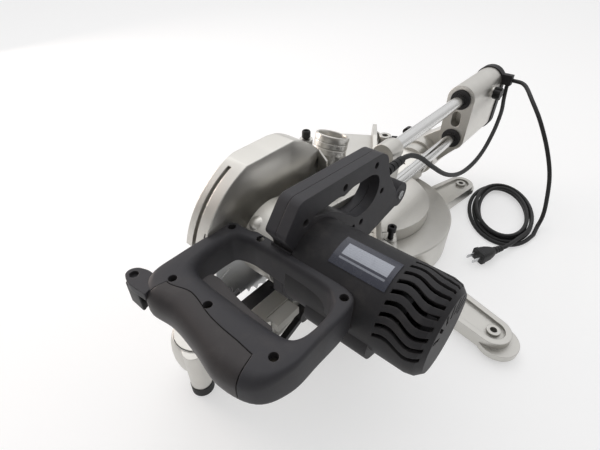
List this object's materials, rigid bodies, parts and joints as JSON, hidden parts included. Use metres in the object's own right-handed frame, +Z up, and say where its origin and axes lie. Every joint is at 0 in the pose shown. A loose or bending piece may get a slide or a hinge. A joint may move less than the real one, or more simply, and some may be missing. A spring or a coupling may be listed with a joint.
{
  "type": "sliding mitre saw",
  "caption": "Corded sliding compound mitre saw with a swivelling table, split fence, twin-rail bevel arm, guarded blade, side motor, loop handle and coiled cord.",
  "frame": {"origin": "turntable axis at bench level", "axes": "+X towards the motor, +Y to the back along the rails, +Z up"},
  "size_m": [0.4966, 0.7664, 0.262],
  "materials": {
    "cast_silver": "satin cast and painted aluminium",
    "black_plastic": "fine textured",
    "steel": "ground",
    "rubber": "matt",
    "bronze": "machined",
    "windings": "varnished",
    "label": "blank satin foil",
    "pale_plastic": "satin"
  },
  "bodies": {
    "base": {"base_casting": "cast_silver", "base_legs": "cast_silver", "wing_left": "cast_silver", "wing_right": "cast_silver", "fence_left": "cast_silver", "fence_right": "cast_silver", "fence_bolts": "black_plastic", "rubber_feet": "rubber", "cord_drop": "rubber", "cord_coil": "rubber", "cord_plug": "rubber"},
    "vise_knob": {"vise_knob": "black_plastic"},
    "table": {"turntable": "cast_silver", "table_pivot_pin": "steel", "kerf_plate_left": "black_plastic", "kerf_plate_right": "black_plastic", "mitre_pointer": "pale_plastic", "arm_foot": "rubber"},
    "mitre_lever": {"mitre_lock_lever": "black_plastic"},
    "bevel_arm": {"rail_holder": "cast_silver", "rail_bushings": "bronze", "rail_seals": "rubber", "bevel_pin": "steel"},
    "slide_knob": {"slide_lock_knob": "black_plastic"},
    "bevel_lever": {"bevel_lock_lever": "black_plastic"},
    "slide": {"upper_rail": "steel", "lower_rail": "steel", "carriage": "cast_silver", "rail_collars": "cast_silver", "end_plate": "black_plastic", "cord_clip": "black_plastic", "cord_lead": "rubber"},
    "head": {"head_casting": "cast_silver", "upper_guard": "cast_silver", "dust_port": "cast_silver", "motor_housing": "black_plastic", "stator": "windings", "bearings": "steel", "brushes": "black_plastic", "carry_handle_left": "black_plastic", "carry_handle_right": "black_plastic", "handle_screws": "black_plastic", "loop_handle": "black_plastic", "grip_cover": "black_plastic", "switch_block": "black_plastic", "rating_plate": "label", "cord_gland": "rubber", "chop_pin": "steel"},
    "depth_knob": {"depth_stop_knob": "black_plastic"},
    "blade": {"blade": "steel", "blade_flanges": "steel", "blade_bolt": "black_plastic", "spindle": "steel", "spindle_gear": "steel"},
    "armature": {"armature": "steel", "motor_pinion": "steel", "cooling_fan": "black_plastic"},
    "lower_guard": {"lower_guard": "cast_silver"},
    "trigger": {"trigger": "black_plastic"},
    "lock_off": {"lock_off_lever": "black_plastic"}
  },
  "joints": [
    {"name": "mitre", "type": "hinge", "parent": "base", "child": "table", "pos_m": [0, 0, 0], "axis": [0, 0, 1], "range_deg": [-102, 0], "deforming": ["cord_drop"]},
    {"name": "bevel", "type": "hinge", "parent": "table", "child": "bevel_arm", "pos_m": [0, 0.168, 0.078], "axis": [0, 1, 0], "range_deg": [-45, 0], "deforming": ["cord_drop"]},
    {"name": "slide", "type": "slide", "parent": "bevel_arm", "child": "slide", "axis": [0, 1, 0], "range_m": [0, 0.2], "deforming": ["cord_drop"]},
    {"name": "chop", "type": "hinge", "parent": "slide", "child": "head", "pos_m": [0.05, -0.084, 0.163], "axis": [1, 0, 0], "range_deg": [-42, 0], "deforming": ["cord_lead"]},
    {"name": "guard_swing", "type": "hinge", "parent": "head", "child": "lower_guard", "pos_m": [0.013, -0.24, 0.16], "axis": [1, 0, 0], "range_deg": [0, 115]},
    {"name": "blade_spin", "type": "hinge", "parent": "head", "child": "blade", "pos_m": [0, -0.24, 0.16], "axis": [1, 0, 0], "continuous": true},
    {"name": "motor_spin", "type": "hinge", "parent": "head", "child": "armature", "pos_m": [0.12, -0.266, 0.178], "axis": [1, 0, 0], "continuous": true},
    {"name": "trigger_pull", "type": "hinge", "parent": "head", "child": "trigger", "pos_m": [0.048, -0.383, 0.19], "axis": [0, 0, 1], "range_deg": [-6, 0], "stiffness_Nm_per_rad": 2, "springref_deg": 2.86},
    {"name": "lock_off_push", "type": "hinge", "parent": "head", "child": "lock_off", "pos_m": [-0.001, -0.411, 0.19], "axis": [0, 0, 1], "range_deg": [-12, 0], "stiffness_Nm_per_rad": 0.5, "springref_deg": 2.86},
    {"name": "depth_stop_turn", "type": "hinge", "parent": "head", "child": "depth_knob", "pos_m": [-0.008, -0.16, 0.24], "axis": [0, 0, 1], "range_deg": [0, 300]},
    {"name": "slide_lock_turn", "type": "hinge", "parent": "bevel_arm", "child": "slide_knob", "pos_m": [0.08, 0.278, 0.193], "axis": [1, 0, 0], "range_deg": [0, 270]},
    {"name": "bevel_lock_swing", "type": "hinge", "parent": "bevel_arm", "child": "bevel_lever", "pos_m": [0, 0.238, 0.078], "axis": [0, 1, 0], "range_deg": [0, 35]},
    {"name": "mitre_lock_swing", "type": "hinge", "parent": "table", "child": "mitre_lever", "pos_m": [0.06, -0.25, 0.052], "axis": [1, 0, 0], "range_deg": [-20, 0]},
    {"name": "vise_lock_turn", "type": "hinge", "parent": "base", "child": "vise_knob", "pos_m": [-0.05464, 0.16126, 0.098], "axis": [0.8387, 0.5446, 0], "range_deg": [0, 270]}
  ],
  "couplings": [
    {"joint": "guard_swing", "follows": "chop", "ratio": -2.738},
    {"joint": "motor_spin", "follows": "blade_spin", "ratio": -5.25}
  ]
}
